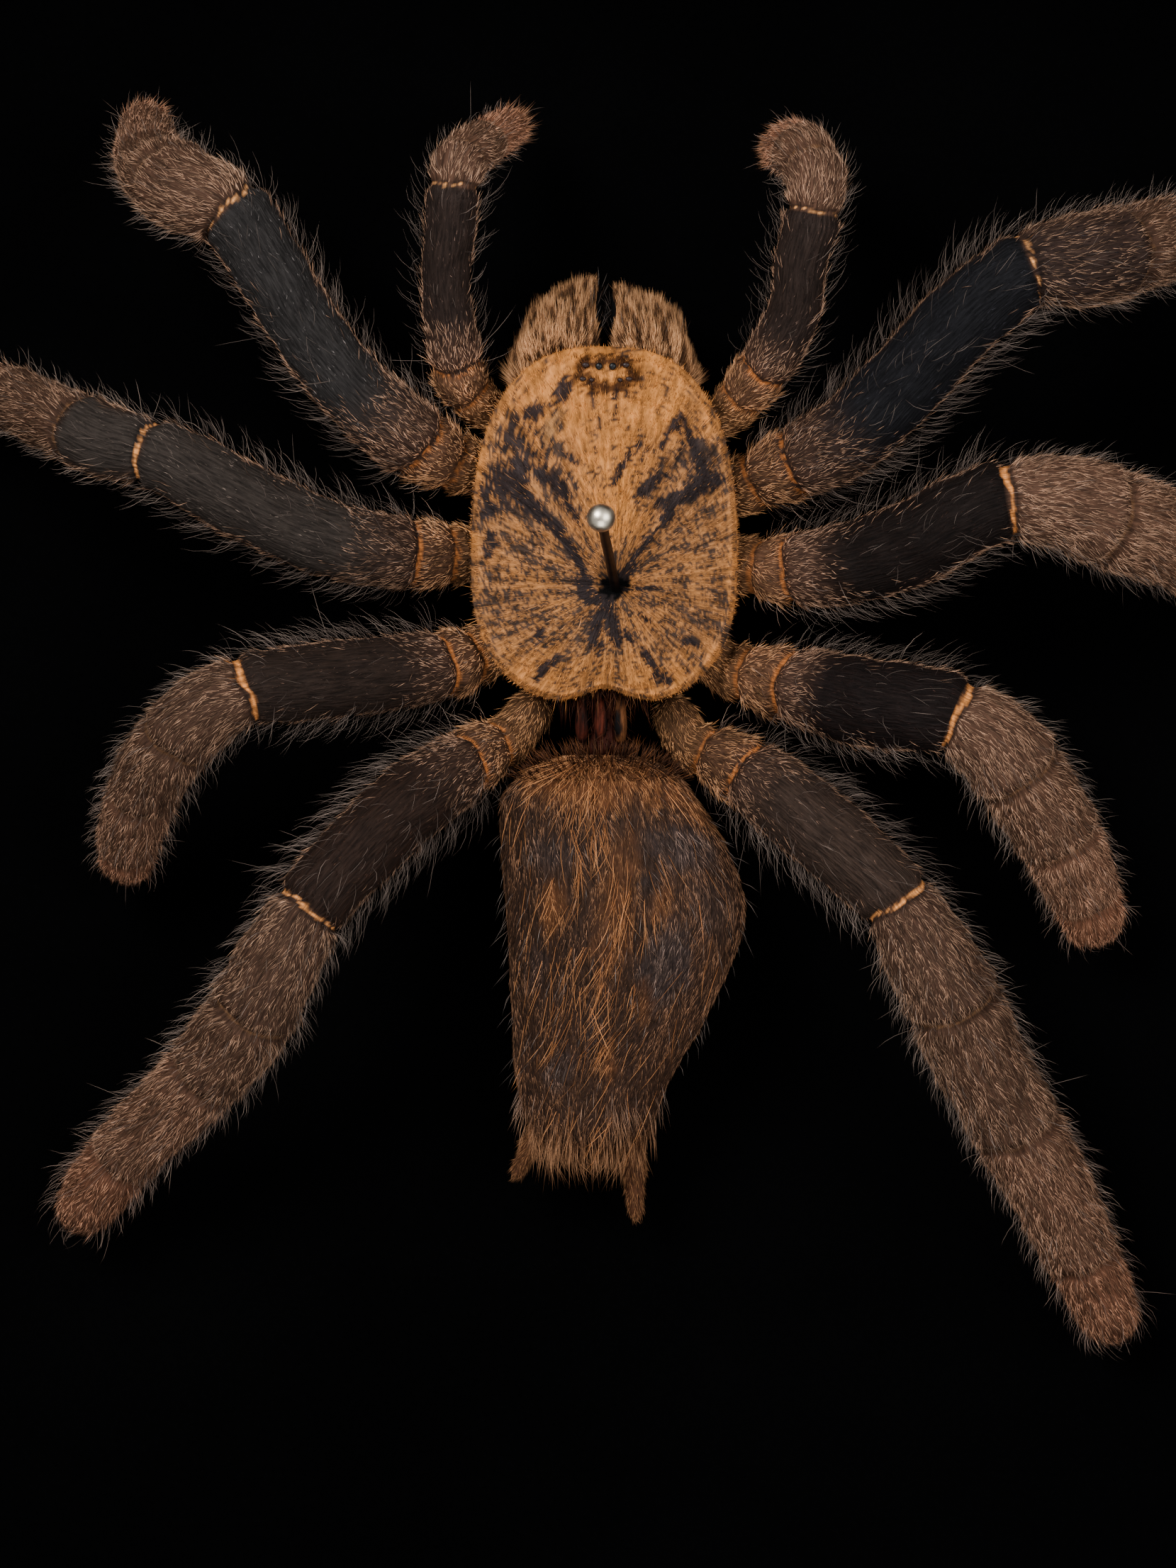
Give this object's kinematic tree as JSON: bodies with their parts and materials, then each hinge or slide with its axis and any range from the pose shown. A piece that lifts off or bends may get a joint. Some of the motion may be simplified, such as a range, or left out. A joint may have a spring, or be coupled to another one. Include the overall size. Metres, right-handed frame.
{
  "type": "framed tarantula specimen",
  "caption": "Square open-fronted box frame with a black board inside, holding a dried hairy spider, legs spread, fixed by a steel pin through its carapace.",
  "frame": {"origin": "middle of the flat back of the frame, which lies on its back", "axes": "+Z out of the open front, +Y towards the spider's head, +X to the right as seen from the front"},
  "size_m": [0.168, 0.168, 0.042],
  "materials": {
    "carapace_fur": "matte",
    "jaw_fur": "matte",
    "abdomen_fur": "matte",
    "leg_fur": "matte",
    "pin_steel": "polished",
    "board_black": "matte",
    "rail_wood": "satin",
    "panel_board": "matte",
    "point_steel": "satin"
  },
  "bodies": {
    "root": {"prosoma": "carapace_fur", "chelicera_left": "jaw_fur", "chelicera_right": "jaw_fur", "abdomen": "abdomen_fur", "spinneret_left": "abdomen_fur", "spinneret_right": "abdomen_fur", "palp_left": "leg_fur", "palp_right": "leg_fur", "leg_1_left": "leg_fur", "leg_1_right": "leg_fur", "leg_2_left": "leg_fur", "leg_2_right": "leg_fur", "leg_3_left": "leg_fur", "leg_3_right": "leg_fur", "leg_4_left": "leg_fur", "leg_4_right": "leg_fur", "pin": "pin_steel", "backing_board": "board_black", "rail_top": "rail_wood", "rail_left": "rail_wood", "rail_bottom": "rail_wood", "rail_right": "rail_wood", "back_panel": "panel_board", "panel_point_top": "point_steel", "panel_point_left": "point_steel", "panel_point_bottom": "point_steel", "panel_point_right": "point_steel"}
  },
  "joints": []
}
